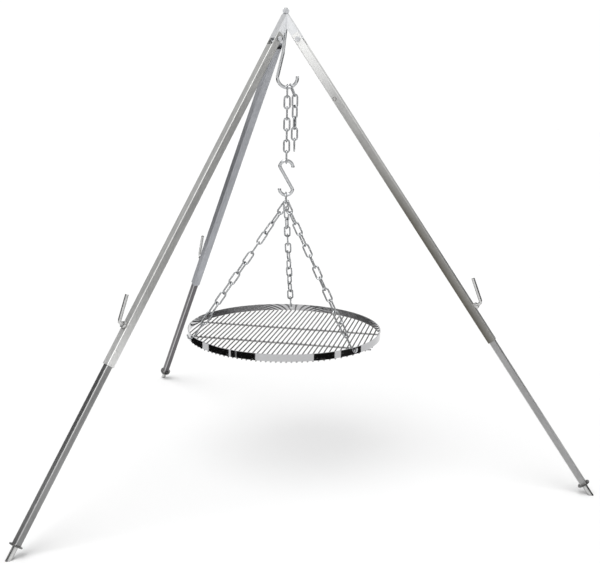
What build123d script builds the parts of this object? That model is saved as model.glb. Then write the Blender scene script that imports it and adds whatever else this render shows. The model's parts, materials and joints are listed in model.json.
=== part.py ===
from build123d import *
import os
from math import cos, radians, sin, sqrt, tan

# A campfire tripod: three telescopic square-tube legs on a folding head, a swivelling pot
# hook, an adjusting chain, an S-hook, and a round grill grate on three sling chains.
# +Z is up. The origin is on the ground, in the middle of the rectangle round the feet.
# Lengths are millimetres, angles degrees, and a "turn" is measured from +X towards +Y.

# Stance, with the legs open
PIVOT_HEIGHT = 1282.0
PIVOT_RADIUS = 38.5
LEG_TILT = 35.0
LEG_TURNS = {"left": -150.6, "right": -29.4, "rear": 105.0}
HOOK_TURN = -15.5
BARS_TURN = -27.5

# Telescopic legs
UPPER_SIDE = 24.0
LOWER_SIDE = 19.0
TUBE_WALL = 1.5
TUBE_CORNER = 3.0
UPPER_LENGTH = 1028.0
LOWER_LENGTH = 940.0
FOOT_PLATE_AT = 1525.0
FOOT_PLATE_DIAMETER = 36.0
FOOT_PLATE_THICKNESS = 3.0
SPIKE_DIAMETER = 15.0
EAR_ABOVE_PIVOT = 18.0
EAR_BELOW_PIVOT = 27.0
EAR_ROUND = 6.0

# Leg clamps: a cranked screw in a nut welded to the leg's outer face
CLAMP_AT = 916.0
CLAMP_ROD = 10.0
CLAMP_STUB = 21.0
CLAMP_HANDLE = 75.0
CLAMP_SPREAD = 14.0
CLAMP_NUT_WIDTH = 17.0
CLAMP_NUT_HEIGHT = 9.0
CLAMP_BEND = 9.0

# Head: three channel arms under a small hub
ARM_WIDTH = 20.4
ARM_SHEET = 2.0
ARM_OUTER = 13.0
ARM_INNER = 11.3
ARM_BELOW_PIVOT = 12.0
HUB_DIAMETER = 16.0
HUB_THICKNESS = 2.0
HUB_ABOVE_PIVOT = 71.0
BOLT_DIAMETER = 8.0
BOLT_WIDTH = 13.0
BOLT_HEAD_HEIGHT = 5.3
BOLT_NUT_HEIGHT = 6.5
BOLT_END = 2.5
CHAMFER_HEIGHT_SHARE = 0.12
CHAMFER_WIDTH_SHARE = 0.06

# Pot hook
HOOK_ROD = 10.0
HOOK_TOP = 86.0
HOOK_UPPER_LEAN = 6.0
HOOK_LOWER_BEND = -38.0
HOOK_LEAN = 13.0
HOOK_BOWL_RADIUS = 28.6
HOOK_BOWL_BELOW = 107.7
HOOK_TIP_RISE = 8.0
HOOK_NUT_WIDTH = 17.0
HOOK_NUT_HEIGHT = 8.0
HANG_OFFSET = 6.5

# Chains and hooks
GAP = 0.3
CHAIN_WIRE = 5.0
LINK_WIDTH = 21.0
CHAIN_PITCH = 31.5
LOADED_LINKS = 7
SPARE_SEAT = 23.0
SPARE_TWISTS = (-15.0, 62.0, 130.0, 198.0, 275.0, 360.0)
S_HOOK_WIRE = 10.0
S_HOOK_BOW = 19.5
S_HOOK_BOW_SWEEP = 150.0
S_HOOK_HEIGHT = 101.3
S_HOOK_CORNER = 9.0
RING_INNER = 28.0
SLING_PITCH = 36.0
SLING_TURNS = {"left": -175.4, "right": -61.5, "rear": 70.9}
SLING_SEATS = {"left": 0.0, "right": -38.0, "rear": 38.0}
SLING_TWISTS = {
    "left": (0, 68, 140, 205, 275, 360, 425, 535, 600, 712, 777, 892),
    "right": (0, 65, 175, 240, 350, 437, 540, 607, 715, 780, 875, 940),
    "rear": (-25, 40, 113, 180, 268, 360, 425, 490, 555, 490, 415, 350),
}
EYE_RADIUS = 6.5
RIM_HOOK_BEND = 5.0
RIM_HOOK_INSIDE = -9.0
RIM_HOOK_RISE = 4.0
RIM_HOOK_OUTSIDE = 8.0
RIM_HOOK_DIP = 3.0
RIM_HOOK_TIP_OUT = 11.0
RIM_HOOK_TIP_RISE = 11.0

# Grate
RIM_RADIUS = 292.0
RIM_TOP = 431.0
RIM_HEIGHT = 20.0
RIM_THICKNESS = 3.0
RIM_HOLE = 8.0
RIM_HOLE_BELOW = 11.0
BAR_SETBACK = 0.5
BAR_DIAMETER = 4.0
BAR_PITCH = 14.0
BARS_EACH_SIDE = 20
CROSS_BAR_DIAMETER = 5.0
CROSS_BAR_OFFSET = 83.5

# Fits between moving pieces, as diameters of clearance
RUNNING_FIT = 0.14
LOOSE_FIT = 0.6

UP = Vector(0, 0, 1)


def heading(turn):
    """The level direction at a turn."""
    return Vector(cos(radians(turn)), sin(radians(turn)), 0)


# Where things are
FOOT_RADIUS = PIVOT_RADIUS + PIVOT_HEIGHT * tan(radians(LEG_TILT))
AXIS = Vector(0, -FOOT_RADIUS * (heading(LEG_TURNS["rear"]).Y + heading(LEG_TURNS["left"]).Y) / 2, 0)
HOOK_SIDE = heading(HOOK_TURN)
HOOK_FRONT = heading(HOOK_TURN + 90)
HANG = AXIS + HOOK_SIDE * HANG_OFFSET
HOOK_SEAT_Z = PIVOT_HEIGHT - HOOK_BOWL_BELOW - HOOK_BOWL_RADIUS
LAST_LINK_SEAT_Z = HOOK_SEAT_Z + HOOK_ROD / 2 - LOADED_LINKS * CHAIN_PITCH
S_HOOK_TOP_Z = LAST_LINK_SEAT_Z + S_HOOK_WIRE / 2 + GAP
S_HOOK_BOTTOM_Z = S_HOOK_TOP_Z - S_HOOK_HEIGHT
RING_Z = S_HOOK_BOTTOM_Z + S_HOOK_WIRE / 2 + GAP - RING_INNER / 2
RIM_HOLE_Z = RIM_TOP - RIM_HOLE_BELOW


def leg_plane(turn):
    """A leg's frame: origin at its pivot, Z up along the leg, Y out of its outer face."""
    outward = heading(turn)
    pivot = AXIS + outward * PIVOT_RADIUS + UP * PIVOT_HEIGHT
    up_leg = UP * cos(radians(LEG_TILT)) - outward * sin(radians(LEG_TILT))
    return Plane(origin=pivot, x_dir=outward.cross(UP), z_dir=up_leg)


def rod(path, diameter):
    """A round rod bent along a path."""
    start = Plane(origin=path @ 0, z_dir=path % 0)
    return sweep(start * Circle(diameter / 2), path=path)


def hexagon(width, height):
    """A hexagonal prism of a width across flats, with its corners rounded off at both ends."""
    corner_radius = width / sqrt(3)
    prism = extrude(RegularPolygon(corner_radius, 6), amount=height)
    turned = Pos(0, 0, height / 2) * Cylinder(corner_radius, height)
    ends = turned.edges().filter_by(GeomType.CIRCLE)
    rise = height * CHAMFER_HEIGHT_SHARE
    return prism & chamfer(ends, length=rise, length2=width * CHAMFER_WIDTH_SHARE)


def across(diameter, length):
    """A cylinder along X, centred on the origin."""
    return Rot(0, 90, 0) * Cylinder(diameter / 2, length)


def square_tube(side, length):
    """A square tube standing on the XY plane."""
    hollow = RectangleRounded(side - 2 * TUBE_WALL, side - 2 * TUBE_WALL, TUBE_CORNER - TUBE_WALL)
    return extrude(RectangleRounded(side, side, TUBE_CORNER) - hollow, amount=length)


# Legs, each in its own frame

def upper_tube():
    """The outer tube, forked into two round ears at its upper end."""
    length = UPPER_LENGTH + EAR_ABOVE_PIVOT
    tube = Pos(0, 0, -UPPER_LENGTH) * square_tube(UPPER_SIDE, length)
    slot = Box(UPPER_SIDE - 2 * TUBE_WALL, 2 * UPPER_SIDE, EAR_ABOVE_PIVOT + EAR_BELOW_PIVOT)
    tube -= Pos(0, 0, (EAR_ABOVE_PIVOT - EAR_BELOW_PIVOT) / 2) * slot
    straight = Pos(0, -EAR_ROUND) * Rectangle(2 * UPPER_SIDE, length)
    straight -= Pos(0, length / 2) * Rectangle(2 * UPPER_SIDE, 2 * EAR_ROUND)
    rounded = Pos(0, length / 2 - UPPER_SIDE) * RectangleRounded(UPPER_SIDE, 2 * UPPER_SIDE, EAR_ROUND)
    side_view = Pos(0, EAR_ABOVE_PIVOT - length / 2) * (straight + rounded)
    tube &= extrude(Plane.YZ * side_view, amount=UPPER_SIDE, both=True)
    tube -= across(BOLT_DIAMETER + RUNNING_FIT, 2 * UPPER_SIDE)
    screw_hole = Rot(90, 0, 0) * Cylinder((CLAMP_ROD + LOOSE_FIT) / 2, UPPER_SIDE)
    return tube - Pos(0, UPPER_SIDE / 2, -CLAMP_AT) * screw_hole


def clamp_nut():
    """The clamp's nut on the leg's outer face."""
    nut = hexagon(CLAMP_NUT_WIDTH, CLAMP_NUT_HEIGHT)
    nut -= Cylinder((CLAMP_ROD + RUNNING_FIT) / 2, 4 * CLAMP_NUT_HEIGHT)
    return Pos(0, UPPER_SIDE / 2, -CLAMP_AT) * Rot(-90, 0, 0) * nut


def clamp_screw():
    """The cranked rod that is screwed against the lower tube."""
    tip = LOWER_SIDE / 2 + GAP
    elbow = UPPER_SIDE / 2 + CLAMP_STUB
    spread = radians(CLAMP_SPREAD)
    handle_end = (elbow + CLAMP_HANDLE * sin(spread), CLAMP_HANDLE * cos(spread))
    path = Plane.YZ * FilletPolyline((tip, 0), (elbow, 0), handle_end, radius=CLAMP_BEND)
    return Pos(0, 0, -CLAMP_AT) * rod(path, CLAMP_ROD)


def lower_tube():
    """The inner tube, pushed out as far as it stands in use."""
    return Pos(0, 0, -FOOT_PLATE_AT) * square_tube(LOWER_SIDE, LOWER_LENGTH)


def foot_plate():
    """The round plate that stops the foot from sinking in."""
    plate = Cylinder(FOOT_PLATE_DIAMETER / 2, FOOT_PLATE_THICKNESS)
    return Pos(0, 0, -FOOT_PLATE_AT - FOOT_PLATE_THICKNESS / 2) * plate


def spike(plane):
    """The ground spike, cut off level with the ground."""
    reach = PIVOT_HEIGHT / cos(radians(LEG_TILT)) + SPIKE_DIAMETER
    start = FOOT_PLATE_AT + FOOT_PLATE_THICKNESS
    length = reach - start
    whole = plane * Pos(0, 0, -start - length / 2) * Cylinder(SPIKE_DIAMETER / 2, length)
    return split(whole, bisect_by=Plane.XY, keep=Keep.TOP)


# Head

def head_arm(name):
    """A channel arm, its web outwards, cut off where it meets the other arms."""
    plane = leg_plane(LEG_TURNS[name])
    top = PIVOT_RADIUS / sin(radians(LEG_TILT)) + 2 * ARM_OUTER
    length = top + ARM_BELOW_PIVOT
    depth = ARM_OUTER + ARM_INNER
    outline = Pos(0, (ARM_OUTER - ARM_INNER) / 2) * Rectangle(ARM_WIDTH, depth)
    hollow = Pos(0, -ARM_INNER - ARM_SHEET + depth / 2) * Rectangle(ARM_WIDTH - 2 * ARM_SHEET, depth)
    channel = Pos(0, 0, -ARM_BELOW_PIVOT) * extrude(outline - hollow, amount=length)
    rounding = Rot(0, 90, 0) * Cylinder(ARM_BELOW_PIVOT, ARM_WIDTH)
    below = Pos(0, 0, -ARM_BELOW_PIVOT / 2) * Box(ARM_WIDTH, 4 * ARM_OUTER, ARM_BELOW_PIVOT)
    channel -= below - rounding
    channel -= across(BOLT_DIAMETER + RUNNING_FIT, 2 * ARM_WIDTH)
    arm = plane * channel
    turns = sorted(LEG_TURNS.values())
    at = turns.index(LEG_TURNS[name])
    start = (turns[at - 1] + turns[at] - (360 if at == 0 else 0)) / 2
    end = (turns[at] + turns[(at + 1) % 3] + (360 if at == 2 else 0)) / 2
    reach = 4 * PIVOT_RADIUS
    edges = [heading(start) * reach, heading((start + end) / 2) * 2 * reach, heading(end) * reach]
    sector = Polyline(Vector(0, 0, 0), *edges, close=True)
    below_hub = Plane(origin=AXIS) * extrude(make_face(sector), amount=PIVOT_HEIGHT + HUB_ABOVE_PIVOT)
    hub_bottom = AXIS + UP * (PIVOT_HEIGHT + HUB_ABOVE_PIVOT)
    bore = Pos(hub_bottom) * Cylinder((HOOK_ROD + RUNNING_FIT) / 2, HUB_ABOVE_PIVOT)
    return (arm & below_hub) - bore


def head_hub():
    """The small round plate on which the hook's nut turns."""
    disc = Cylinder(HUB_DIAMETER / 2, HUB_THICKNESS) - Cylinder((HOOK_ROD + RUNNING_FIT) / 2, HUB_THICKNESS)
    return Pos(AXIS + UP * (PIVOT_HEIGHT + HUB_ABOVE_PIVOT + HUB_THICKNESS / 2)) * disc


def pivot_bolt(side):
    """A pivot's hexagon bolt, its head on one side of the leg."""
    head_at = UPPER_SIDE / 2 + GAP / 2
    shank = UPPER_SIDE + BOLT_NUT_HEIGHT + BOLT_END
    bolt = hexagon(BOLT_WIDTH, BOLT_HEAD_HEIGHT)
    bolt += Pos(0, 0, -shank / 2) * Cylinder(BOLT_DIAMETER / 2, shank)
    return Pos(side * head_at, 0, 0) * Rot(0, side * 90, 0) * bolt


def pivot_nut(side):
    """A pivot's nut, on the side away from the bolt's head."""
    nut = hexagon(BOLT_WIDTH, BOLT_NUT_HEIGHT)
    nut -= Cylinder((BOLT_DIAMETER + RUNNING_FIT) / 2, 4 * BOLT_NUT_HEIGHT)
    return Pos(-side * (UPPER_SIDE / 2 + GAP / 2), 0, 0) * Rot(0, -side * 90, 0) * nut


# Pot hook: its own plane has X along the hook's open side and Y up

def hook_plane(origin):
    """The upright plane in which the pot hook and the S-hook are bent."""
    return Plane(origin=origin, x_dir=HOOK_SIDE, z_dir=-HOOK_FRONT)


def pot_hook():
    """A rod with a straight threaded shank, bent twice and then round into a bowl."""
    lean = radians(HOOK_LEAN)
    bowl_start = (
        HANG_OFFSET - HOOK_BOWL_RADIUS * cos(lean),
        HOOK_BOWL_RADIUS * sin(lean) - HOOK_BOWL_BELOW,
    )
    lower_bend = (bowl_start[0] + (HOOK_LOWER_BEND - bowl_start[1]) * tan(lean), HOOK_LOWER_BEND)
    upper_bend = (0, HOOK_LOWER_BEND - lower_bend[0] / tan(radians(HOOK_UPPER_LEAN)))
    shank = FilletPolyline((0, HOOK_TOP), upper_bend, lower_bend, bowl_start, radius=HOOK_BOWL_RADIUS)
    sweep_angle = 180 + HOOK_LEAN + HOOK_TIP_RISE
    bowl = CenterArc((HANG_OFFSET, -HOOK_BOWL_BELOW), HOOK_BOWL_RADIUS, 180 - HOOK_LEAN, sweep_angle)
    path = hook_plane(AXIS + UP * PIVOT_HEIGHT) * Wire(shank.edges() + bowl.edges())
    return rod(path, HOOK_ROD)


def hook_nut():
    """The nut that carries the hook on the hub."""
    nut = hexagon(HOOK_NUT_WIDTH, HOOK_NUT_HEIGHT)
    nut -= Cylinder((HOOK_ROD + RUNNING_FIT) / 2, 4 * HOOK_NUT_HEIGHT)
    return Pos(AXIS + UP * (PIVOT_HEIGHT + HUB_ABOVE_PIVOT + HUB_THICKNESS + GAP / 2)) * nut


# Chains: a link's frame has its origin in the middle of the wire that the link hangs on

def chain_link(pitch, hung_on=CHAIN_WIRE):
    """A long welded link, hanging in its XZ plane on a wire of a diameter."""
    inner_top = hung_on / 2 + GAP
    inner_length = pitch + GAP
    middle = Plane.XZ * Pos(0, inner_top - inner_length / 2)
    outline = middle * SlotOverall(inner_length + CHAIN_WIRE, LINK_WIDTH - CHAIN_WIRE, rotation=90)
    return rod(outline.wire(), CHAIN_WIRE)


def first_step(pitch, hung_on):
    """How far a link's lower wire lies under the thicker wire that the link hangs on."""
    return pitch + CHAIN_WIRE / 2 - hung_on / 2


def loaded_strand():
    """The links from the pot hook down to the S-hook, each a quarter turn from the last."""
    top = HANG + UP * HOOK_SEAT_Z
    links = [Plane(origin=top, x_dir=HOOK_FRONT, z_dir=UP) * chain_link(CHAIN_PITCH, HOOK_ROD)]
    top -= UP * first_step(CHAIN_PITCH, HOOK_ROD)
    for number in range(1, LOADED_LINKS):
        across_link = HOOK_SIDE if number % 2 else HOOK_FRONT
        links.append(Plane(origin=top, x_dir=across_link, z_dir=UP) * chain_link(CHAIN_PITCH))
        top -= UP * CHAIN_PITCH
    return links


def spare_strand():
    """The chain's loose end: its first link leans out along the bowl, the rest hang down."""
    seat = radians(SPARE_SEAT)
    lean = UP * cos(seat) - HOOK_SIDE * sin(seat)
    top = HANG + UP * (PIVOT_HEIGHT - HOOK_BOWL_BELOW) - lean * HOOK_BOWL_RADIUS
    links = []
    for number, twist in enumerate(SPARE_TWISTS):
        up_link = UP if number else lean
        hung_on = CHAIN_WIRE if number else HOOK_ROD
        across_link = heading(HOOK_TURN + 90 - twist)
        across_link = (across_link - up_link * across_link.dot(up_link)).normalized()
        frame = Plane(origin=top, x_dir=across_link, z_dir=up_link)
        links.append(frame * chain_link(CHAIN_PITCH, hung_on))
        top -= up_link * first_step(CHAIN_PITCH, hung_on)
    return links


def s_hook():
    """An S-hook: two round bows, two tighter corners and a straight diagonal."""
    middle = S_HOOK_HEIGHT / 2
    sweep_end = radians(S_HOOK_BOW_SWEEP)
    bow_z = middle - S_HOOK_BOW
    end = (S_HOOK_BOW * cos(sweep_end), bow_z + S_HOOK_BOW * sin(sweep_end))
    diagonal = (-sin(sweep_end), cos(sweep_end))
    # the corner lies where the bow's last tangent meets the diagonal that mirrors its slope
    run = -(end[0] * diagonal[1] + end[1] * diagonal[0]) / (2 * diagonal[0] * diagonal[1])
    corner = (end[0] + run * diagonal[0], end[1] + run * diagonal[1])
    upper = CenterArc((0, bow_z), S_HOOK_BOW, 0, S_HOOK_BOW_SWEEP)
    lower = CenterArc((0, -bow_z), S_HOOK_BOW, 180, S_HOOK_BOW_SWEEP)
    other_end = (-end[0], -end[1])
    other_corner = (-corner[0], -corner[1])
    stem = FilletPolyline(end, corner, other_corner, other_end, radius=S_HOOK_CORNER)
    wire = Wire(upper.edges() + stem.edges() + lower.edges())
    centre = HANG + UP * (S_HOOK_BOTTOM_Z + middle)
    return rod(hook_plane(centre) * wire, S_HOOK_WIRE)


def sling_ring():
    """The ring that gathers the three sling chains, edge-on to the hook's open side."""
    plane = Plane(origin=HANG + UP * RING_Z, x_dir=HOOK_FRONT, z_dir=HOOK_SIDE)
    return plane * Torus((RING_INNER + CHAIN_WIRE) / 2, CHAIN_WIRE / 2)


def rim_hole(turn):
    """The middle of a hole in the grate's rim."""
    return HANG + heading(turn) * (RIM_RADIUS - RIM_THICKNESS / 2) + UP * RIM_HOLE_Z


def sling_line(name):
    """A sling's start in the ring's wire, and the way it pulls."""
    seat = radians(SLING_SEATS[name])
    wire_radius = (RING_INNER + CHAIN_WIRE) / 2
    start = HANG + UP * (RING_Z - wire_radius * cos(seat)) + HOOK_FRONT * wire_radius * sin(seat)
    outward = heading(SLING_TURNS[name])
    end = rim_hole(SLING_TURNS[name]) + outward * RIM_HOOK_INSIDE + UP * RIM_HOOK_RISE
    return start, (end - start).normalized()


def across_sling(pull, twist):
    """The direction across a link that is twisted about a sling, from facing along the ring."""
    level = pull.cross(HOOK_FRONT).normalized()
    return level * cos(radians(twist)) + pull.cross(level) * sin(radians(twist))


def sling_chain(name):
    """A taut sling chain: its links run straight from the ring to the rim hook."""
    start, pull = sling_line(name)
    links = []
    for number, twist in enumerate(SLING_TWISTS[name]):
        origin = start + pull * SLING_PITCH * number
        frame = Plane(origin=origin, x_dir=across_sling(pull, twist), z_dir=-pull)
        links.append(frame * chain_link(SLING_PITCH))
    return Compound(children=links)


def rim_hook(name):
    """The hook at a sling's end: an eye, a shank, and an end bent up through the rim."""
    start, pull = sling_line(name)
    twists = SLING_TWISTS[name]
    eye_centre = start + pull * (SLING_PITCH * len(twists) + EYE_RADIUS - CHAIN_WIRE - GAP)
    eye_plane = Plane(origin=eye_centre, x_dir=pull, z_dir=across_sling(pull, twists[-1]))
    hole = rim_hole(SLING_TURNS[name])
    outward = heading(SLING_TURNS[name])
    bend = hole + outward * RIM_HOOK_INSIDE + UP * RIM_HOOK_RISE
    below = hole + outward * RIM_HOOK_OUTSIDE - UP * RIM_HOOK_DIP
    tip = hole + outward * RIM_HOOK_TIP_OUT + UP * RIM_HOOK_TIP_RISE
    path = FilletPolyline(eye_centre + pull * EYE_RADIUS, bend, below, tip, radius=RIM_HOOK_BEND)
    return eye_plane * Torus(EYE_RADIUS, CHAIN_WIRE / 2) + rod(path, CHAIN_WIRE)


# Grate: its own frame has the bars along Y

def grate_plane(z):
    """The grate's frame at a height."""
    return Plane(origin=HANG + UP * z, x_dir=heading(BARS_TURN), z_dir=UP)


def grate_rim():
    """The flat band round the grate, with a hole for each rim hook."""
    band = Circle(RIM_RADIUS) - Circle(RIM_RADIUS - RIM_THICKNESS)
    rim = grate_plane(RIM_TOP - RIM_HEIGHT) * extrude(band, amount=RIM_HEIGHT)
    for turn in SLING_TURNS.values():
        rim -= Plane(origin=rim_hole(turn), z_dir=heading(turn)) * Cylinder(RIM_HOLE / 2, 4 * RIM_THICKNESS)
    return rim


def straight_bar(diameter, offset):
    """A bar along Y at an offset, ending under the rim."""
    edge = abs(offset) + diameter / 2
    length = 2 * sqrt((RIM_RADIUS - BAR_SETBACK) ** 2 - edge ** 2)
    return Pos(offset, 0, 0) * Rot(90, 0, 0) * Cylinder(diameter / 2, length)


def grate_bars():
    """The cooking bars, side by side under the rim."""
    plane = grate_plane(RIM_TOP - RIM_HEIGHT - BAR_DIAMETER / 2)
    steps = range(-BARS_EACH_SIDE, BARS_EACH_SIDE + 1)
    return Compound(children=[plane * straight_bar(BAR_DIAMETER, step * BAR_PITCH) for step in steps])


def grate_cross_bars():
    """The two bars that carry the cooking bars from below."""
    plane = grate_plane(RIM_TOP - RIM_HEIGHT - BAR_DIAMETER - CROSS_BAR_DIAMETER / 2)
    bars = [Rot(0, 0, 90) * straight_bar(CROSS_BAR_DIAMETER, side * CROSS_BAR_OFFSET) for side in (-1, 1)]
    return Compound(children=[plane * bar for bar in bars])


def build():
    """Every sub-part by its name."""
    parts = {"head_hub": head_hub(), "pot_hook": pot_hook(), "hook_nut": hook_nut()}
    bolts = []
    nuts = []
    for name, turn in LEG_TURNS.items():
        plane = leg_plane(turn)
        head_side = 1 if name == "right" else -1
        bolts.append(plane * pivot_bolt(head_side))
        nuts.append(plane * pivot_nut(head_side))
        parts[f"head_arm_{name}"] = head_arm(name)
        parts[f"upper_tube_{name}"] = plane * upper_tube()
        parts[f"clamp_nut_{name}"] = plane * clamp_nut()
        parts[f"clamp_screw_{name}"] = plane * clamp_screw()
        parts[f"lower_tube_{name}"] = plane * lower_tube()
        parts[f"foot_plate_{name}"] = plane * foot_plate()
        parts[f"spike_{name}"] = spike(plane)
        parts[f"sling_chain_{name}"] = sling_chain(name)
        parts[f"rim_hook_{name}"] = rim_hook(name)
    parts["pivot_bolts"] = Compound(children=bolts)
    parts["pivot_nuts"] = Compound(children=nuts)
    for number, link in enumerate(loaded_strand(), start=1):
        parts[f"chain_link_{number}"] = link
    for number, link in enumerate(spare_strand(), start=1):
        parts[f"spare_link_{number}"] = link
    parts["s_hook"] = s_hook()
    parts["sling_ring"] = sling_ring()
    parts["grate_rim"] = grate_rim()
    parts["grate_bars"] = grate_bars()
    parts["grate_cross_bars"] = grate_cross_bars()
    return parts


os.makedirs("parts", exist_ok=True)
for node, shape in build().items():
    export_step(shape, f"parts/{node}.step")
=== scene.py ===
import json
import math

import bpy
import numpy as np
from mathutils import Matrix, Vector


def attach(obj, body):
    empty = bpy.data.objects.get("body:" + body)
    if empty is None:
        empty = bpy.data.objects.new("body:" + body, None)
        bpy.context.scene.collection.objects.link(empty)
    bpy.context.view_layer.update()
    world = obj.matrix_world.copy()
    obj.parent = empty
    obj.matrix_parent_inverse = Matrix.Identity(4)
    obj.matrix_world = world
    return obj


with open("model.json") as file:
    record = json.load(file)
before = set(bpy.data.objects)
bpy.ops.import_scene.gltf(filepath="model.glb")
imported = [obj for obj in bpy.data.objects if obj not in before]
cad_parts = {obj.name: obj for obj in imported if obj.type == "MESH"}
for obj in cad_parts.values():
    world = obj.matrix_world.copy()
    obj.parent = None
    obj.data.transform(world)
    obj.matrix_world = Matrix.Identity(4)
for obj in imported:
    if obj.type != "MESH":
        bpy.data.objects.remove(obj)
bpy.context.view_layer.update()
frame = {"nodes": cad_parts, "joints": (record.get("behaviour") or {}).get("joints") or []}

NODES = frame["nodes"]
LEGS = ("left", "right", "rear")
JOINTS = {joint["name"]: joint for joint in frame["joints"]}
scene = bpy.context.scene
scene.view_settings.view_transform = "Standard"
scene.view_settings.look = "None"


# Camera: the photograph's angle

CAMERA_AT = Vector((-0.7415, -3.0524, 1.2268))
CAMERA_RIGHT = Vector((0.96351, -0.26720, 0.01590))
CAMERA_UP = Vector((0.04331, 0.21425, 0.97582))
SENSOR_WIDTH, LENS = 36.0, 59.77  # both in millimetres
CLIP_START, CLIP_END = 0.05, 60.0

camera_data = bpy.data.cameras.new("camera")
camera_data.sensor_width = SENSOR_WIDTH
camera_data.lens = LENS
camera_data.clip_start = CLIP_START
camera_data.clip_end = CLIP_END
camera = bpy.data.objects.new("camera", camera_data)
scene.collection.objects.link(camera)
axes = Matrix((CAMERA_RIGHT, CAMERA_UP, CAMERA_RIGHT.cross(CAMERA_UP))).transposed()
camera.matrix_world = Matrix.Translation(CAMERA_AT) @ axes.to_4x4()
scene.camera = camera


# Stage: a plain pale floor, dark cards out of view, and soft studio light

FLOOR_HALF_WIDTH = 14.0
FLOOR_LEVEL = -0.0005
FLOOR_TONE = 0.86
# the backdrop's brightness at each height of the view direction, where 0 is level and 1 is overhead
BACKDROP = ((0.22, 1.0), (0.36, 0.62), (0.5, 0.55), (0.7, 0.38), (0.8, 0.6), (1.0, 0.6))
BACKDROP_STRENGTH = 1.02
SUN_STRENGTH = 2.2
SUN_SPREAD = math.radians(50)
SUN_TILT = (math.radians(18), math.radians(-22), 0)
# level directions towards the camera and to its right, and a point under the middle of the grate
FRONT = Vector((-0.2711, -0.9626, 0))
SIDE = Vector((0.9626, -0.2711, 0))
GRATE_FOOT = Vector((0, -0.2223, 0))
# each card runs from one point to another, both given as (sideways, forwards) from the grate's
# axis, and has a height, a tone and the level of its lower edge
CARDS = (
    ((-1.37, -0.24), (-1.02, -0.85), 0.2, 0.01, 0.0),
    ((-1.41, 0.03), (-1.25, 0.74), 0.2, 0.01, 0.0),
    ((-1.22, 0.79), (-0.71, 1.30), 0.2, 0.01, 0.0),
    ((0.79, 1.25), (1.21, 0.81), 0.2, 0.01, 0.0),
    ((1.30, 0.64), (1.40, -0.09), 0.2, 0.02, 0.0),
    ((-1.50, 0.60), (-1.50, 2.20), 0.7, 0.02, 0.4),
    ((1.50, 0.60), (1.50, 2.20), 0.7, 0.02, 0.4),
    ((-1.60, -0.60), (-0.50, -1.70), 0.65, 0.03, 0.40),
    ((0.50, -1.70), (1.60, -0.60), 0.65, 0.03, 0.40),
    ((-1.60, -0.55), (-1.50, 0.55), 0.65, 0.15, 0.45),
    ((1.60, -0.55), (1.50, 0.55), 0.65, 0.15, 0.45),
)


def grey(value):
    return (value, value, value)


def node_setup(material):
    material.use_nodes = True
    tree = material.node_tree
    return tree, tree.nodes["Principled BSDF"]


def stage_face(name, points, material_name, tone, roughness, specular):
    """A four-cornered face in an even, dull material."""
    mesh = bpy.data.meshes.new(name)
    mesh.from_pydata(points, [], [(0, 1, 2, 3)])
    face = bpy.data.objects.new(name, mesh)
    scene.collection.objects.link(face)
    material = bpy.data.materials.new(material_name)
    shader = node_setup(material)[1]
    shader.inputs["Base Color"].default_value = (*grey(tone), 1)
    shader.inputs["Roughness"].default_value = roughness
    shader.inputs["Specular IOR Level"].default_value = specular
    mesh.materials.append(material)
    return face


def add_floor():
    size = FLOOR_HALF_WIDTH
    points = [(x * size, y * size, FLOOR_LEVEL) for x, y in ((-1, -1), (1, -1), (1, 1), (-1, 1))]
    floor = stage_face("floor", points, "floor_paper", FLOOR_TONE, roughness=0.9, specular=0.1)


def add_world():
    """Pale up to a low height all round, like a paper sweep, and darker above it."""
    world = bpy.data.worlds.new("studio")
    world.use_nodes = True
    tree = world.node_tree
    direction = tree.nodes.new("ShaderNodeTexCoord").outputs["Generated"]
    split = tree.nodes.new("ShaderNodeSeparateXYZ")
    tree.links.new(direction, split.inputs["Vector"])
    ramp = tree.nodes.new("ShaderNodeValToRGB")
    tree.links.new(split.outputs["Z"], ramp.inputs["Fac"])
    stops = ramp.color_ramp.elements
    stops[0].position, stops[1].position = BACKDROP[0][0], BACKDROP[-1][0]
    for height, _ in BACKDROP[1:-1]:
        stops.new(height)
    for stop, (_, brightness) in zip(stops, BACKDROP):
        stop.color = (*grey(brightness), 1)
    background = tree.nodes["Background"]
    tree.links.new(ramp.outputs["Color"], background.inputs["Color"])
    background.inputs["Strength"].default_value = BACKDROP_STRENGTH
    scene.world = world


def add_card(name, start, end, height, tone, base):
    """A dark upright card that the camera doesn't see and that only shows as a reflection."""
    first, last = (
        GRATE_FOOT + SIDE * sideways + FRONT * forwards + Vector((0, 0, base))
        for sideways, forwards in (start, end)
    )
    lift = Vector((0, 0, height))
    points = [first, last, last + lift, first + lift]
    card = stage_face(name, points, name, tone, roughness=1.0, specular=0.0)
    card.visible_camera = False
    card.visible_diffuse = False
    card.visible_shadow = False


def add_sun():
    light = bpy.data.lights.new("softbox", "SUN")
    light.energy = SUN_STRENGTH
    light.angle = SUN_SPREAD
    softbox = bpy.data.objects.new("softbox", light)
    softbox.rotation_euler = SUN_TILT
    scene.collection.objects.link(softbox)


add_floor()
add_world()
for number, card_row in enumerate(CARDS):
    add_card(f"card_{number}", *card_row)
add_sun()


# Materials

# how fine each pattern is, in features to a metre
CLOUD_SCALE = 9.0
LINE_SCALE = 260.0
MOTTLE_SCALE = 75.0
SPANGLE_SCALE = 170.0
SPECK_SCALE = 90.0
SCUFF_SCALE = 55.0
# what the three patterns add to the tone
CLOUD_SHARE, LINE_SHARE, MOTTLE_SHARE = 0.35, 0.25, 0.4
# how deep each pattern's relief is, in metres, and how wide a recess gathers painted shade
LINE_DEPTH, SPECK_DEPTH, SCUFF_DEPTH = 0.00006, 0.00015, 0.00008
RECESS_WIDTH = 0.012


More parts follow.
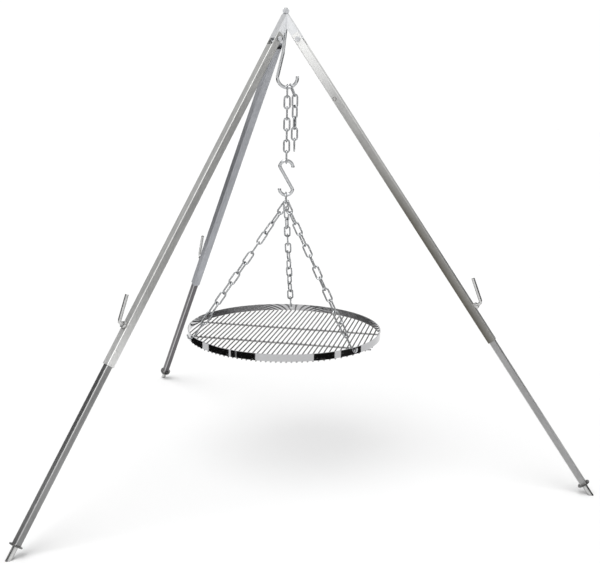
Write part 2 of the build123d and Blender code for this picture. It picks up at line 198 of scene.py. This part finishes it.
class Nodes:
    """Short ways to make and join shader nodes."""

    def __init__(self, material):
        self.tree, self.shader = node_setup(material)

    def add(self, kind, inputs=None, **settings):
        node = self.tree.nodes.new(kind)
        for name, value in settings.items():
            setattr(node, name, value)
        for name, value in (inputs or {}).items():
            self.feed(node.inputs[name], value)
        return node

    def feed(self, socket, value):
        """Join another node's output to a socket, or set the socket to a plain value."""
        if isinstance(value, bpy.types.NodeSocket):
            self.tree.links.new(value, socket)
        else:
            socket.default_value = value

    def place(self, turn=None, scale=(1, 1, 1)):
        """Object coordinates in metres, turned into a piece's own directions, then stretched."""
        vector = self.add("ShaderNodeTexCoord").outputs["Object"]
        if turn is not None:
            inputs = {"Vector": vector, "Rotation": turn.to_euler()}
            vector = self.add("ShaderNodeMapping", inputs).outputs["Vector"]
        return self.add("ShaderNodeMapping", {"Vector": vector, "Scale": scale}).outputs["Vector"]

    def noise(self, vector, scale, detail=4.0, rough=0.55, distortion=0.0):
        inputs = {
            "Vector": vector, "Scale": scale, "Detail": detail, "Roughness": rough,
            "Distortion": distortion,
        }
        return self.add("ShaderNodeTexNoise", inputs).outputs["Fac"]

    def spread(self, value, low, high, to_low=0.0, to_high=1.0):
        """A value carried from one range to another and held inside it."""
        inputs = {
            "Value": value, "From Min": low, "From Max": high, "To Min": to_low, "To Max": to_high,
        }
        return self.add("ShaderNodeMapRange", inputs, clamp=True).outputs["Result"]

    def mix(self, factor, first, second, blend="MIX"):
        node = self.add("ShaderNodeMix", data_type="RGBA", blend_type=blend)
        self.feed(node.inputs[0], factor)
        for socket, colour in ((node.inputs[6], first), (node.inputs[7], second)):
            self.feed(socket, colour if isinstance(colour, bpy.types.NodeSocket) else (*colour, 1.0))
        return node.outputs[2]

    def math(self, operation, first, second=0.0):
        return self.add("ShaderNodeMath", {0: first, 1: second}, operation=operation).outputs[0]

    def dot(self, vector, direction):
        inputs = {0: vector, 1: direction}
        return self.add("ShaderNodeVectorMath", inputs, operation="DOT_PRODUCT").outputs["Value"]

    def normal(self):
        return self.add("ShaderNodeNewGeometry").outputs["Normal"]

    def bump(self, height, distance, strength, under=None):
        """Relief from a pattern, on top of another bump where one is given."""
        inputs = {"Height": height, "Distance": distance, "Strength": strength}
        if under is not None:
            inputs["Normal"] = under
        return self.add("ShaderNodeBump", inputs).outputs["Normal"]


def metal(name, dark, light, rough, recess_shade, turn=None, streak=(1, 1, 1), spangle=0.0, relief=1.0,
          pivot=None, corner_highlight=None, fade=None, gleam=None):
    """A bare or zinc-coated metal: cloudy tone, streaks along the piece, painted shade in its recesses.

    Rough is the range of the roughness, the value after it is how far painted shade darkens the
    metal in a recess, turn is a leg's directions, streak stretches the patterns along them, spangle
    is the share of zinc crystals in the tone, and relief scales every bump. The tone given for the
    corners is that of a painted highlight along the leg's rounded corners.
    A fade darkens the two faces across a leg, most on its inner side, and a gleam lightens a stretch
    of the leg. Both are given as two distances down from the leg's pivot, where it starts and where
    it is full, and a tint."""
    material = bpy.data.materials.new(name)
    n = Nodes(material)
    even = n.place(turn)
    drawn = n.place(turn, streak)
    half_drawn = n.place(turn, tuple(max(share, 0.2) for share in streak))
    cloud = n.spread(n.noise(even, CLOUD_SCALE, detail=5.0), 0.3, 0.7)
    lines = n.spread(n.noise(drawn, LINE_SCALE, detail=3.0), 0.3, 0.7)
    mottle = n.spread(n.noise(half_drawn, MOTTLE_SCALE, detail=4.0, rough=0.65), 0.3, 0.7)
    tone = n.math("ADD", n.math("MULTIPLY", cloud, CLOUD_SHARE), n.math("MULTIPLY", lines, LINE_SHARE))
    tone = n.math("ADD", tone, n.math("MULTIPLY", mottle, MOTTLE_SHARE))
    if spangle:
        inputs = {"Vector": even, "Scale": SPANGLE_SCALE}
        cells = n.add("ShaderNodeTexVoronoi", inputs, feature="F1").outputs["Color"]
        crystals = n.add("ShaderNodeRGBToBW", {"Color": cells}).outputs["Val"]
        plain, bright = n.math("MULTIPLY", tone, 1 - spangle), n.math("MULTIPLY", crystals, spangle)
        tone = n.math("ADD", plain, bright)
    colour = n.mix(tone, dark, light)

    # painted shade: ambient occlusion darkens the colour in recesses, broken up by the specks
    hollow = n.add("ShaderNodeAmbientOcclusion", {"Distance": RECESS_WIDTH}, samples=4).outputs["AO"]
    painted_recess_shade = n.spread(hollow, 0.25, 0.9, recess_shade, 0.0)
    speck = n.spread(n.noise(even, SPECK_SCALE, detail=6.0, rough=0.7), 0.35, 0.75)
    colour = n.mix(n.math("MULTIPLY", painted_recess_shade, speck), colour, tuple(0.25 * part for part in dark))
    # painted highlight: the rounded corners of a leg's tube are lightened towards the given tone
    if corner_highlight:
        normal = n.normal()
        corner = n.math("MULTIPLY", n.dot(normal, turn[0]), n.dot(normal, turn[1]))
        corner = n.spread(n.math("ABSOLUTE", corner), 0.1, 0.4)
        patchy = n.spread(speck, 0.0, 1.0, 0.95, 0.6)
        colour = n.mix(n.math("MULTIPLY", corner, patchy), colour, corner_highlight)
    if fade:
        start, end, tint = fade
        place = n.place()
        out_at, down_at = pivot.dot(turn[1]), -pivot.dot(turn[2])
        amount = n.spread(n.dot(place, -turn[2]), down_at + start, down_at + end)
        inner = n.spread(n.dot(place, turn[1]), out_at - 0.012, out_at + 0.010, 1.0, 0.55)
        facing = n.spread(n.math("ABSOLUTE", n.dot(n.normal(), turn[0])), 0.3, 0.8)
        amount = n.math("MULTIPLY", n.math("MULTIPLY", amount, inner), facing)
        colour = n.mix(amount, colour, tint, "MULTIPLY")
    if gleam:
        start, end, tint = gleam
        down_at = -pivot.dot(turn[2])
        amount = n.spread(n.dot(n.place(), -turn[2]), down_at + start, down_at + end)
        colour = n.mix(amount, colour, tint)
    n.feed(n.shader.inputs["Base Color"], colour)

    across = n.place(turn, (1, 1, 12))
    scuff = n.noise(across, SCUFF_SCALE, detail=3.0, rough=0.6, distortion=0.4)
    scuff = n.spread(scuff, 0.60, 0.72)
    wear = n.math("ADD", n.math("MULTIPLY", lines, 0.4), n.math("MULTIPLY", speck, 0.6))
    roughness = n.math("ADD", n.spread(wear, 0.0, 1.0, *rough), n.math("MULTIPLY", scuff, 0.12))
    n.feed(n.shader.inputs["Roughness"], roughness)
    n.shader.inputs["Metallic"].default_value = 1.0
    fine = n.bump(lines, LINE_DEPTH * relief, 0.5)
    pits = n.bump(speck, SPECK_DEPTH * relief, 0.6, fine)
    n.feed(n.shader.inputs["Normal"], n.bump(scuff, SCUFF_DEPTH * relief, 0.5, pits))
    return material


def paint(material, *names):
    for name in names:
        NODES[name].data.materials.clear()
        NODES[name].data.materials.append(material)


def leg_turn(name):
    """A leg's directions as rows: X across, Y outwards, Z up the leg."""
    side = Vector(JOINTS[f"leg_fold_{name}"]["axis"])
    up = -Vector(JOINTS[f"leg_slide_{name}"]["axis"])
    return Matrix((side, up.cross(side), up))


DRAWN = (1, 1, 0.02)
BRUSHED = (1, 1, 0.1)
ROLLED_ROUND = (1, 1, 8)
UPPER_TONES = {
    "left": ((0.39, 0.39, 0.382), (0.61, 0.61, 0.597)),
    "right": ((0.40, 0.40, 0.40), (0.62, 0.62, 0.61)),
    "rear": ((0.32, 0.33, 0.35), (0.52, 0.53, 0.56)),
}
LOWER_TONES = {
    "left": (grey(0.19), grey(0.33)),
    "right": (grey(0.24), grey(0.42)),
    "rear": ((0.10, 0.095, 0.10), (0.19, 0.18, 0.19)),
}
# tones of the painted highlight along the tubes' rounded corners
UPPER_CORNER_HIGHLIGHT = {"right": (0.85, 0.85, 0.84)}
LOWER_CORNER_HIGHLIGHT = grey(0.62)
FADES = {"right": (0.15, 0.6, (0.20, 0.185, 0.15))}
GLEAMS = {"left": (0.80, 1.02, (0.84, 0.84, 0.83)), "right": (0.22, 0.03, (0.94, 0.94, 0.93))}

tube_zinc = {}
for leg in LEGS:
    turn = leg_turn(leg)
    tube_zinc[leg] = metal(
        f"galvanised_{leg}", *UPPER_TONES[leg], (0.42, 0.58), 0.5, turn, DRAWN, spangle=0.2, relief=0.5,
        pivot=Vector(JOINTS[f"leg_fold_{leg}"]["pos_m"]), corner_highlight=UPPER_CORNER_HIGHLIGHT.get(leg),
        fade=FADES.get(leg), gleam=GLEAMS.get(leg),
    )
    inner_zinc = metal(
        f"inner_tube_{leg}", *LOWER_TONES[leg], (0.32, 0.46), 0.5, turn, DRAWN, spangle=0.15, relief=0.5,
        corner_highlight=LOWER_CORNER_HIGHLIGHT,
    )
    sheet = metal(
        f"head_sheet_{leg}", (0.78, 0.79, 0.81), (0.93, 0.94, 0.95), (0.30, 0.45), 0.7, turn, BRUSHED,
        relief=0.3,
    )
    paint(tube_zinc[leg], f"upper_tube_{leg}")
    paint(inner_zinc, f"lower_tube_{leg}")
    paint(sheet, f"head_arm_{leg}")

dull_zinc = metal("dull_zinc", grey(0.44), (0.70, 0.70, 0.69), (0.14, 0.28), 0.8, relief=0.5)
plate_zinc = metal("plate_zinc", grey(0.10), grey(0.26), (0.30, 0.50), 0.75)
for leg in LEGS:
    paint(dull_zinc, f"clamp_screw_{leg}", f"clamp_nut_{leg}", f"spike_{leg}")
    paint(plate_zinc, f"foot_plate_{leg}")
fastener = metal("zinc_fasteners", (0.42, 0.43, 0.45), (0.72, 0.73, 0.75), (0.16, 0.32), 0.85)
paint(fastener, "pivot_bolts", "pivot_nuts", "hook_nut", "head_hub")
hook_steel = metal(
    "hook_steel", (0.44, 0.45, 0.46), (0.66, 0.67, 0.68), (0.12, 0.24), 0.5, streak=BRUSHED, relief=0.4
)
paint(hook_steel, "pot_hook", "s_hook")
chain_zinc = metal("zinc_chain", (0.26, 0.27, 0.28), (0.66, 0.67, 0.68), (0.08, 0.20), 1.0, relief=0.5)
CHAIN_STARTS = ("chain_link", "spare_link", "sling_", "rim_hook")
paint(chain_zinc, *[name for name in NODES if name.startswith(CHAIN_STARTS)])
band = metal(
    "polished_band", (0.43, 0.43, 0.44), (0.53, 0.53, 0.54), (0.02, 0.07), 0.2, streak=ROLLED_ROUND,
    relief=0.03,
)
paint(band, "grate_rim")
bars = metal("bar_steel", grey(0.13), grey(0.34), (0.18, 0.32), 0.75)
paint(bars, "grate_bars", "grate_cross_bars")
seam = metal("weld_seam", (0.16, 0.15, 0.14), (0.42, 0.41, 0.40), (0.30, 0.55), 0.8)


# Small worked detail: weld beads, weld marks on the links, and screw threads. Sizes are in metres

BEAD_STEP = 0.0006
BEAD_SIDES = 8
RIPPLE_LENGTH = 0.0024
BLOB_SIDES = 8
BLOB_RINGS = 6
BLOB_TIP = 0.12  # the angle at which a blob's rings start and end
COLLAR_SIDES = 14
# along a weld mark: the share of its length from its middle, and its radius against the wire's
COLLAR_SWELL = ((-0.5, 0.92), (-0.3, 1.08), (-0.08, 1.17), (0.08, 1.15), (0.3, 1.06), (0.5, 0.92))
THREAD_SIDES = 28
THREAD_SINK = 0.0002  # how far a thread's foot lies inside its rod
TUBE_BEAD, SPIKE_BEAD, NUT_BEAD = 0.0013, 0.0013, 0.0014
CHAIN_WIRE_RADIUS = 0.0025
CHAIN_WELD_LENGTH = 0.005

rng = np.random.default_rng(11)


def world_points(name):
    """A node's vertices, in metres, in the shared frame."""
    node = NODES[name]
    flat = np.empty(3 * len(node.data.vertices))
    node.data.vertices.foreach_get("co", flat)
    matrix = np.array(node.matrix_world)
    return flat.reshape(-1, 3) @ matrix[:3, :3].T + matrix[:3, 3]


def islands(name):
    """The points of each separate solid in a node."""
    points = world_points(name)
    parent = list(range(len(points)))

    def root(index):
        while parent[index] != index:
            parent[index] = parent[parent[index]]
            index = parent[index]
        return index

    # corners that the mesh keeps apart for its shading still count as joined
    same = {}
    for index, key in enumerate(map(tuple, np.round(points, 6))):
        parent[index] = same.setdefault(key, index)
    for edge in NODES[name].data.edges:
        first, second = root(edge.vertices[0]), root(edge.vertices[1])
        if first != second:
            parent[second] = first
    groups = {}
    for index in range(len(points)):
        groups.setdefault(root(index), []).append(index)
    return [points[group] for group in groups.values()]


def unit(vector):
    return vector / np.linalg.norm(vector)


def round_angles(count):
    return np.linspace(0, 2 * math.pi, count, endpoint=False)


def ring_path(centre, first, second, radius, count=24):
    return [centre + radius * (math.cos(a) * first + math.sin(a) * second) for a in round_angles(count)]


def rounded_square(centre, first, second, half, count=32):
    """A path round a square with soft corners."""
    path = []
    for step in range(count):
        angle = step * 2 * math.pi / count
        swell = (abs(math.cos(angle)) ** 6 + abs(math.sin(angle)) ** 6) ** (1 / 6)
        path.append(centre + half / swell * (math.cos(angle) * first + math.sin(angle) * second))
    return path


class Shape:
    """Faces gathered for one new piece."""

    def __init__(self):
        self.points, self.faces = [], []

    def loft(self, rings, closed):
        """Skin a run of rings of points, closed into a loop or capped at both ends."""
        start, sides, count = len(self.points), len(rings[0]), len(rings)
        for ring in rings:
            self.points.extend(map(tuple, ring))
        for step in range(count if closed else count - 1):
            here, there = start + step * sides, start + (step + 1) % count * sides
            for side in range(sides):
                after = (side + 1) % sides
                self.faces.append((here + side, here + after, there + after, there + side))
        if not closed:
            self.faces.append(tuple(start + side for side in reversed(range(sides))))
            self.faces.append(tuple(start + (count - 1) * sides + side for side in range(sides)))

    def bead(self, path, radius):
        """A rippled weld bead along a closed path."""
        ends = np.vstack([path, path[:1]])
        steps = np.linalg.norm(np.diff(ends, axis=0), axis=1)
        run = np.concatenate([[0], np.cumsum(steps)])
        count = max(6, int(run[-1] / BEAD_STEP))
        at = np.linspace(0, run[-1], count, endpoint=False)
        centre = np.stack([np.interp(at, run, ends[:, axis]) for axis in range(3)], axis=1)
        along = np.roll(centre, -1, axis=0) - np.roll(centre, 1, axis=0)
        along /= np.linalg.norm(along, axis=1)[:, None]
        out = centre - centre.mean(axis=0)
        out -= along * np.sum(out * along, axis=1)[:, None]
        out /= np.linalg.norm(out, axis=1)[:, None]
        other = np.cross(along, out)
        swell = 1 + 0.12 * np.sin(at * 2 * math.pi / RIPPLE_LENGTH) + rng.normal(0, 0.06, count)
        turns = round_angles(BEAD_SIDES)
        rings = []
        for i in range(count):
            circle = np.outer(np.cos(turns), out[i]) + np.outer(np.sin(turns), other[i])
            rings.append(centre[i] + radius * swell[i] * circle)
        self.loft(rings, True)

    def blob(self, centre, directions, sizes):
        """A small uneven lump of weld, in given directions and half-sizes."""
        turns = round_angles(BLOB_SIDES)
        rings = []
        for tilt in np.linspace(BLOB_TIP, math.pi - BLOB_TIP, BLOB_RINGS):
            width = math.sin(tilt) * (1 + rng.normal(0, 0.07, BLOB_SIDES))
            level = np.full(BLOB_SIDES, math.cos(tilt))
            ring = np.stack([np.cos(turns) * width, np.sin(turns) * width, level], axis=1)
            rings.append(centre + (ring * sizes) @ directions)
        self.loft(rings, False)

    def collar(self, centre, along, radius, length):
        """The swollen weld mark round a chain link's wire."""
        along = unit(along)
        out = unit(np.cross(along, rng.normal(size=3)))
        other = np.cross(along, out)
        turns = round_angles(COLLAR_SIDES)
        circle = np.outer(np.cos(turns), out) + np.outer(np.sin(turns), other)
        rings = []
        for share, swell in COLLAR_SWELL:
            size = radius * swell * (1 + rng.normal(0, 0.015, COLLAR_SIDES))
            rings.append(centre + along * share * length + size[:, None] * circle)
        self.loft(rings, False)

    def thread(self, start, along, length, radius, pitch, height):
        """A helical ridge round a rod, lower at both of its ends."""
        along = unit(np.array(along))
        out = unit(np.cross(along, (0.3, 0.5, 0.81)))
        other = np.cross(along, out)
        half = pitch * 0.42
        count = int(THREAD_SIDES * (length - 2 * half) / pitch)
        run_in = THREAD_SIDES / 2
        rings = []
        for step in range(count + 1):
            angle = step * 2 * math.pi / THREAD_SIDES
            way = math.cos(angle) * out + math.sin(angle) * other
            middle = start + along * (half + step * pitch / THREAD_SIDES)
            rise = height * min(1.0, 0.25 + step / run_in, 0.25 + (count - step) / run_in)
            foot = middle + way * (radius - THREAD_SINK)
            rings.append([foot - along * half, middle + way * (radius + rise), foot + along * half])
        self.loft(rings, False)

    def add(self, name, body, slot_name, material):
        mesh = bpy.data.meshes.new(name)
        mesh.from_pydata([tuple(map(float, point)) for point in self.points], [], self.faces)
        mesh.materials.append(material)
        mesh.shade_smooth()
        piece = bpy.data.objects.new(name, mesh)
        scene.collection.objects.link(piece)
        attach(piece, body)


def leg_frame(name):
    """A leg's pivot and its directions as rows: across, outwards, up the leg."""
    return np.array(JOINTS[f"leg_fold_{name}"]["pos_m"]), np.array(leg_turn(name))


def reach(name, origin, rows):
    """The lowest and highest point of a node along some directions."""
    local = (world_points(name) - origin) @ rows.T
    return local.min(axis=0), local.max(axis=0)


def leg_details(leg):
    """A leg's weld round the clamp nut, thread on the clamp screw and welds at the foot."""
    pivot, rows = leg_frame(leg)
    sideways, outwards, up_leg = rows
    nut_low, nut_high = reach(f"clamp_nut_{leg}", pivot, rows)
    nut_level = pivot + up_leg * (nut_low[2] + nut_high[2]) / 2
    nut_radius = max(nut_high[0] - nut_low[0], nut_high[2] - nut_low[2]) / 2
    weld = Shape()
    weld.bead(ring_path(nut_level + outwards * nut_low[1], sideways, up_leg, nut_radius * 0.97), NUT_BEAD)
    weld.add(f"clamp_weld_{leg}", f"leg_{leg}", "galvanised_tube", seam)

    screw_low, screw_high = reach(f"clamp_screw_{leg}", pivot, rows)
    screw_radius = (screw_high[0] - screw_low[0]) / 2
    thread = Shape()
    thread.thread(
        nut_level + outwards * nut_high[1], outwards, length=0.005, radius=screw_radius, pitch=0.0015,
        height=0.0005,
    )
    thread.add(f"clamp_thread_{leg}", f"clamp_{leg}", "zinc_rod", dull_zinc)

    plate_low, plate_high = reach(f"foot_plate_{leg}", pivot, rows)
    tube_half = reach(f"lower_tube_{leg}", pivot, rows)[1][0]
    spike_radius = reach(f"spike_{leg}", pivot, rows)[1][0]
    foot = Shape()
    foot.bead(rounded_square(pivot + up_leg * plate_high[2], sideways, outwards, tube_half), TUBE_BEAD)
    foot.bead(ring_path(pivot + up_leg * plate_low[2], sideways, outwards, spike_radius), SPIKE_BEAD)
    foot.add(f"foot_weld_{leg}", f"foot_{leg}", "zinc_rod", seam)


for leg in LEGS:
    leg_details(leg)

# each tube in front has one small round mark on the side that shows: the leg, which side, how far
# down from the pivot and out from the tube's middle, and the material
MARKS = (("left", -1, 0.990, 0.004, tube_zinc["left"]), ("right", 1, 0.198, -0.004, seam))
MARK_RADIUS, MARK_BEAD = 0.0048, 0.0011
for leg, side, down, out, material in MARKS:
    pivot, rows = leg_frame(leg)
    sideways, outwards, up_leg = rows
    tube_half = reach(f"upper_tube_{leg}", pivot, rows)[1][0]
    centre = pivot + sideways * side * tube_half + outwards * out - up_leg * down
    mark = Shape()
    mark.bead(ring_path(centre, outwards, up_leg, MARK_RADIUS), MARK_BEAD)
    mark.add(f"pressed_mark_{leg}", f"leg_{leg}", "galvanised_tube", material)

swivel = np.array(JOINTS["hook_swivel"]["pos_m"])
nut_top = reach("hook_nut", swivel, np.eye(3))[1][2]
shank_top = reach("pot_hook", swivel, np.eye(3))[1][2]
shank_thread = Shape()
shank_thread.thread(
    swivel + [0, 0, nut_top], (0, 0, 1), length=shank_top - nut_top - 0.0006, radius=0.005, pitch=0.0015,
    height=0.00045,
)
shank_thread.add("hook_thread", "pot_hook", "hook_steel", hook_steel)

NUT_SEARCH = 0.04  # each pivot's nut lies within this distance of it
for bolt in islands("pivot_bolts"):
    middle = bolt.mean(axis=0)
    leg = min(LEGS, key=lambda name: np.linalg.norm(leg_frame(name)[0] - middle))
    pivot, rows = leg_frame(leg)
    nut = world_points("pivot_nuts") - pivot
    nut_along = nut[np.linalg.norm(nut, axis=1) < NUT_SEARCH] @ rows[0]
    side = 1 if nut_along.mean() > 0 else -1
    nut_face = abs(nut_along).max()
    bolt_end = (side * ((bolt - pivot) @ rows[0])).max()
    bolt_thread = Shape()
    bolt_thread.thread(
        pivot + rows[0] * side * nut_face, rows[0] * side, length=bolt_end - nut_face, radius=0.004,
        pitch=0.00125, height=0.0004,
    )
    bolt_thread.add(f"bolt_thread_{leg}", "head", "zinc_fasteners", fastener)


def link_weld(shape, points, side):
    """A weld mark on one straight side of a link, whose points give its middle and directions."""
    middle = (points.max(axis=0) + points.min(axis=0)) / 2
    directions = np.linalg.svd(points - middle, full_matrices=False)[2]
    local = (points - middle) @ directions.T
    middle = middle + (local.max(axis=0) + local.min(axis=0)) / 2 @ directions
    half_width = (local[:, 1].max() - local[:, 1].min()) / 2 - CHAIN_WIRE_RADIUS
    spot = middle + directions[1] * side * half_width
    shape.collar(spot, directions[0], CHAIN_WIRE_RADIUS, CHAIN_WELD_LENGTH)


for name in [name for name in NODES if name.startswith(("chain_link_", "spare_link_"))]:
    mark = Shape()
    link_weld(mark, world_points(name), 1 if int(name[-1]) % 2 else -1)
    mark.add(f"{name}_weld", name, "zinc_chain", chain_zinc)
sling_marks = Shape()
for leg in LEGS:
    for number, points in enumerate(islands(f"sling_chain_{leg}")):
        link_weld(sling_marks, points, 1 if number % 3 else -1)
sling_marks.add("sling_welds", "grate_set", "zinc_chain", chain_zinc)

# welds at both ends of every bar, and on both sides of it where it lies on a cross bar
END_WELD = (0.0026, 0.0027, 0.0016)
END_WELD_INSET = 0.0022
CROSS_WELD = (0.0018, 0.0014, 0.0012)
CROSS_WELD_OUT, CROSS_WELD_UP = 0.0016, 0.0002
grate_welds = Shape()
bar_islands = islands("grate_bars")
middle_bar = bar_islands[len(bar_islands) // 2]
bar_line = np.linalg.svd(middle_bar - middle_bar.mean(axis=0))[2][0]
bar_line[2] = 0
bar_line = unit(bar_line)
bar_frame = np.array((bar_line, (-bar_line[1], bar_line[0], 0), (0, 0, 1)))
cross_at = []
for points in islands("grate_cross_bars"):
    line = points @ bar_frame[0]
    cross_at.append((line.min() + line.max()) / 2)
for points in bar_islands:
    local = points @ bar_frame.T
    low, high = local.min(axis=0), local.max(axis=0)
    at = (low[1] + high[1]) / 2
    for end, inward in ((low[0], 1), (high[0], -1)):
        spot = np.array((end + inward * END_WELD_INSET, at, high[2])) @ bar_frame
        grate_welds.blob(spot, bar_frame, END_WELD)
    for cross in cross_at:
        if low[0] < cross < high[0]:
            for side in (-1, 1):
                spot = np.array((cross, at + side * CROSS_WELD_OUT, low[2] + CROSS_WELD_UP)) @ bar_frame
                grate_welds.blob(spot, bar_frame, CROSS_WELD)
grate_welds.add("grate_welds", "grate_set", "bar_steel", seam)
